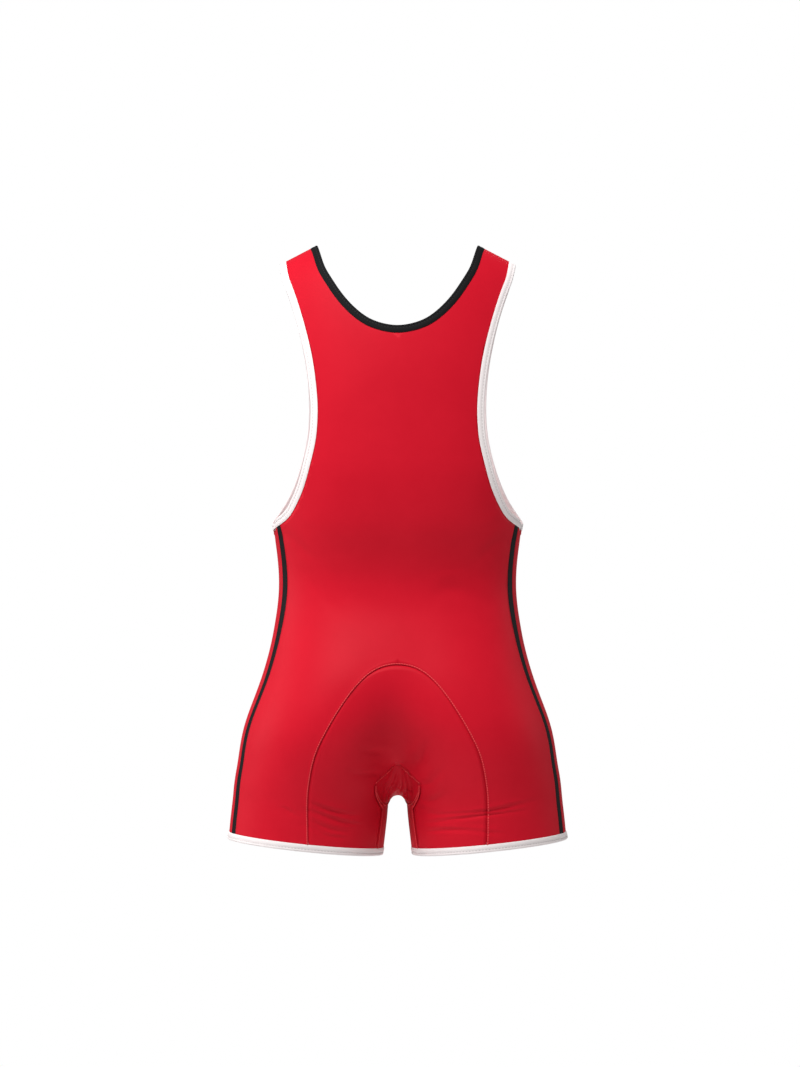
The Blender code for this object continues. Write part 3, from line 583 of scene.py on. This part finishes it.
def sweep(frames, profile, closed=False):
    """A strip: a ring of (across, out) steps extruded from frame to frame, with its own UV."""
    strip = bmesh.new()
    step = strip.verts.layers.int.new("step")
    run = strip.verts.layers.float.new("run")
    girths = [0.0]
    for (a, b), (c, d) in zip(profile, profile[1:] + profile[:1]):
        girths.append(girths[-1] + math.hypot(c - a, d - b))
    ring = []
    for i in range(len(profile)):
        v = strip.verts.new()
        v[step] = i
        ring.append(v)
    edges = [strip.edges.new(pair) for pair in zip(ring, ring[1:] + ring[:1])]
    gone = 0.0
    last = frames[0][0]
    for i, (place, along, across, out) in enumerate(frames + frames[:1] * closed):
        if i > 0:
            grown = bmesh.ops.extrude_edge_only(strip, edges=edges)["geom"]
            ring = [g for g in grown if isinstance(g, bmesh.types.BMVert)]
            edges = [g for g in grown if isinstance(g, bmesh.types.BMEdge)
                     and all(v in ring for v in g.verts)]
        gone += (place - last).length
        last = place
        for v in ring:
            v.co = place + across * profile[v[step]][0] + out * profile[v[step]][1]
            v[run] = gone
    flat = strip.loops.layers.uv.new("flat")
    for f in strip.faces:
        wraps = any(v[step] == len(profile) - 1 for v in f.verts)
        for loop in f.loops:
            i = loop.vert[step]
            loop[flat].uv = (girths[-1] if wraps and i == 0 else girths[i], loop.vert[run])
    if closed:
        bmesh.ops.remove_doubles(strip, verts=strip.verts, dist=CLOSING_GAP)
    else:
        bmesh.ops.holes_fill(strip, edges=strip.edges)
    bmesh.ops.recalc_face_normals(strip, faces=strip.faces)
    return strip


def thread_material(name, colour):
    """Soft matt thread, with a little unevenness along it."""
    material = bpy.data.materials.new(name)
    material.use_nodes = True
    nodes = material.node_tree.nodes
    shader = nodes["Principled BSDF"]
    here = nodes.new("ShaderNodeTexCoord")
    fluff = nodes.new("ShaderNodeTexNoise")
    fluff.inputs["Scale"].default_value = 900.0
    tone = nodes.new("ShaderNodeMix")
    tone.data_type = "RGBA"
    tone.inputs["A"].default_value = colour
    tone.inputs["B"].default_value = (*(c * THREAD_DEEP for c in colour[:3]), 1.0)
    material.node_tree.links.new(here.outputs["Object"], fluff.inputs["Vector"])
    material.node_tree.links.new(fluff.outputs["Fac"], tone.inputs["Factor"])
    material.node_tree.links.new(tone.outputs["Result"], shader.inputs["Base Color"])
    shader.inputs["Roughness"].default_value = 0.7
    shader.inputs["Specular IOR Level"].default_value = 0.2
    return material


for inner, outer in ((seat_panel, back_panel), (seat_panel, front_panel), (gusset, seat_panel),
                     (gusset, front_panel)):
    step_seam(inner, outer)
red_thread = thread_material("red_thread", RED_THREAD)
all_cloth = panel_tree([back_panel, seat_panel, gusset, front_panel] + stripes)


def sew(name, inner, outer, stitched=True):
    """The allowances of the seams between two panels, and any stitch row on the outer one."""
    made = []
    stitching = bmesh.new()
    outer_cloth = panel_tree([outer])
    for i, line in enumerate(seam_lines(inner, outer)):
        frames = frames_along(even_points(line, STITCH_PITCH)[1:-1], all_cloth)
        made.append(sewn_piece(f"{name}_allowance_{i + 1}", sweep(frames, ALLOWANCE),
                               inner.data.materials[1]))
        if stitched:
            inset = STITCH_INSET * cloth_side(frames, outer_cloth, STITCH_PITCH)
            for place, along, across, out in frames:
                at, normal = all_cloth.find_nearest(place + across * inset)[:2]
                add_stitch(stitching, at + normal * THREAD_HEIGHT * THREAD_LIFT, along, across, out)
    if stitched:
        made.append(sewn_piece(name + "_stitching", stitching, red_thread))
    else:
        stitching.free()
    return made


arch_seam = sew("arch_seam", seat_panel, back_panel)
inseams = sew("inseam", seat_panel, front_panel)
gusset_back = sew("gusset_back_seam", gusset, seat_panel)
gusset_front = sew("gusset_front_seam", gusset, front_panel)
shoulder_seams = sew("shoulder_seam", front_panel, back_panel, stitched=False)

# Each stripe is sewn to the back and to the front, with no stitch row. A panel's cut, in metres, is
# 1.15 times narrower and 1.05 times shorter than the panel is when worn.
for side, stripe in zip(("left", "right"), stripes):
    seams = [piece for label, panel in (("back", back_panel), ("front", front_panel))
             for piece in sew(f"stripe_{side}_{label}_seam", stripe, panel, stitched=False)]


# The bindings
# Tape folded over each cut edge and stitched through: black round the neck, white round the
# armholes and the legs. A shallow groove shows where the stitches draw the fold together.

# Round the folded tape, from its lip on the face to its lip inside and back: millimetres away
# from the cloth's edge, and out of the cloth
TAPE_FOLD = (
    (-0.5, 0.55), (0.3, 0.80), (2.4, 0.95), (4.4, 0.75), (5.3, 0.25), (6.2, 0.70), (7.6, 0.50),
    (8.5, 0.02), (8.8, -0.55), (8.5, -1.12), (7.6, -1.56), (6.2, -1.70), (5.3, -1.46),
    (4.4, -1.72), (2.4, -1.82), (-0.5, -1.60),
    (-0.5, -1.10), (2.4, -1.25), (5.3, -1.00), (7.6, -1.05), (8.1, -0.55), (7.6, -0.05),
    (5.3, -0.10), (2.4, 0.15), (-0.5, 0.10),
)
TAPE_PITCH = 0.0040
TAPE_STITCH_ACROSS = 0.0053
TAPE_STITCH_OUT = 0.00030
BINDING_REACH = 0.0012
EDGE_ROUNDS = 3
TURN_ROUNDS = 4
TAPE_RIB = 0.0011
TAPE_RELIEF = 0.0003
WHITE_LIGHT = (0.900, 0.850, 0.845, 1.0)
# The darker white goes only into the grooves between the tape's ribs: painted shade.
WHITE_RIB_GROOVE_SHADE = (0.820, 0.750, 0.750, 1.0)
# The white thread is greyer than the tape: partly its own tone, and partly painted shade for the
# groove that it lies in.
WHITE_THREAD_AND_GROOVE_SHADE = (0.700, 0.630, 0.630, 1.0)
BINDING_BLACK_LIGHT = (0.0120, 0.0115, 0.0125, 1.0)
BLACK_THREAD = (0.018, 0.018, 0.019, 1.0)

# The axis that an opening goes round
SIDEWAYS = 0
UPRIGHT = 2


def rib_pattern():
    """Node group: fine ribs across the tape."""
    group = bpy.data.node_groups.new("tape_ribs", "ShaderNodeTree")
    group.interface.new_socket("Height", in_out="OUTPUT", socket_type="NodeSocketFloat")
    nodes = group.nodes
    out = nodes.new("NodeGroupOutput")
    flat = nodes.new("ShaderNodeUVMap")
    ribs = nodes.new("ShaderNodeTexWave")
    ribs.bands_direction = "Y"
    ribs.inputs["Scale"].default_value = WAVE_STEP / TAPE_RIB
    ribs.inputs["Distortion"].default_value = 0.4
    ribs.inputs["Detail Scale"].default_value = 200.0
    group.links.new(flat.outputs["UV"], ribs.inputs["Vector"])
    group.links.new(ribs.outputs["Fac"], out.inputs["Height"])
    return group


def tape_material(name, light, deep):
    """Matt folded tape with fine ribs, and painted shade darkening the grooves between them."""
    material = bpy.data.materials.new(name)
    material.use_nodes = True
    nodes = material.node_tree.nodes
    link = material.node_tree.links.new
    shader = nodes["Principled BSDF"]
    pattern = nodes.new("ShaderNodeGroup")
    pattern.node_tree = tape_ribs
    # The rib height also sets the colour, darker in the grooves between ribs: painted shade.
    tone = nodes.new("ShaderNodeMix")
    tone.data_type = "RGBA"
    tone.inputs["A"].default_value = deep
    tone.inputs["B"].default_value = light
    link(pattern.outputs["Height"], tone.inputs["Factor"])
    link(tone.outputs["Result"], shader.inputs["Base Color"])
    relief = nodes.new("ShaderNodeBump")
    relief.inputs["Strength"].default_value = 0.35
    relief.inputs["Distance"].default_value = TAPE_RELIEF
    link(pattern.outputs["Height"], relief.inputs["Height"])
    link(relief.outputs["Normal"], shader.inputs["Normal"])
    shader.inputs["Roughness"].default_value = 0.72
    shader.inputs["Specular IOR Level"].default_value = 0.08
    return material


def opening_edge(node, axis):
    """The cloth's edge that a binding covers, as a closed line of points round an axis."""
    tape = bmesh.new()
    tape.from_mesh(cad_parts[node].data)
    covered = BVHTree.FromBMesh(tape)
    tape.free()
    points = []
    panels = [back_panel, seat_panel, front_panel] + stripes
    for panel in panels:
        beside = panel_tree([p for p in panels if p is not panel])
        cloth = bmesh.new()
        cloth.from_mesh(panel.data)
        points.extend(v.co.copy() for v in cloth.verts
                      if v.is_boundary and covered.find_nearest(v.co)[3] < BINDING_REACH
                      and beside.find_nearest(v.co)[3] > SEAM_REACH)
        cloth.free()
    middle = sum(points, Vector()) / len(points)
    a, b = (axis + 1) % 3, (axis + 2) % 3
    points.sort(key=lambda p: math.atan2(p[a] - middle[a], p[b] - middle[b]))
    line = even_points(points + points[:1], TAPE_PITCH)[:-1]
    for _ in range(EDGE_ROUNDS):
        line = [(line[i - 1] + p * 2 + line[(i + 1) % len(line)]) / 4 for i, p in enumerate(line)]
    return line


def bind(node, axis, material, thread):
    """A folded tape round an opening, and its row of stitches."""
    line = opening_edge(node, axis)
    frames = frames_along(line, all_cloth, closed=True)
    if cloth_side(frames, all_cloth, TAPE_PITCH) > 0:
        frames = frames_along(line[::-1], all_cloth, closed=True)
    outs = [out for _, _, _, out in frames]
    count = len(frames)
    for _ in range(TURN_ROUNDS):
        outs = [outs[i - 1] + outs[i] * 2 + outs[(i + 1) % count] for i in range(count)]
        outs = [out.normalized() for out in outs]
    even = []
    for (place, along, _, _), out in zip(frames, outs):
        across = along.cross(out).normalized()
        even.append((place, along, across, across.cross(along)))
    fold = [(u / 1000, v / 1000) for u, v in TAPE_FOLD]
    tape = sewn_piece(node + "_tape", sweep(even, fold, closed=True), material)
    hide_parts(node)
    stitching = bmesh.new()
    for place, along, across, out in even:
        at = place + across * TAPE_STITCH_ACROSS + out * TAPE_STITCH_OUT
        add_stitch(stitching, at, along, across, out)
    sewn = sewn_piece(node + "_stitching", stitching, thread)


tape_ribs = rib_pattern()
black_tape = tape_material("black_tape", BINDING_BLACK_LIGHT, BLACK_MOTTLE_AND_RIB_SHADE)
white_tape = tape_material("white_tape", WHITE_LIGHT, WHITE_RIB_GROOVE_SHADE)
black_thread = thread_material("black_thread", BLACK_THREAD)
# The white thread's greyer tone is partly painted shade for the tape's groove.
white_thread_and_groove_shade = thread_material("white_thread_and_groove_shade", WHITE_THREAD_AND_GROOVE_SHADE)
bind("neck_binding", UPRIGHT, black_tape, black_thread)
for side in ("left", "right"):
    bind("armhole_binding_" + side, SIDEWAYS, white_tape, white_thread_and_groove_shade)
    bind("leg_binding_" + side, UPRIGHT, white_tape, white_thread_and_groove_shade)
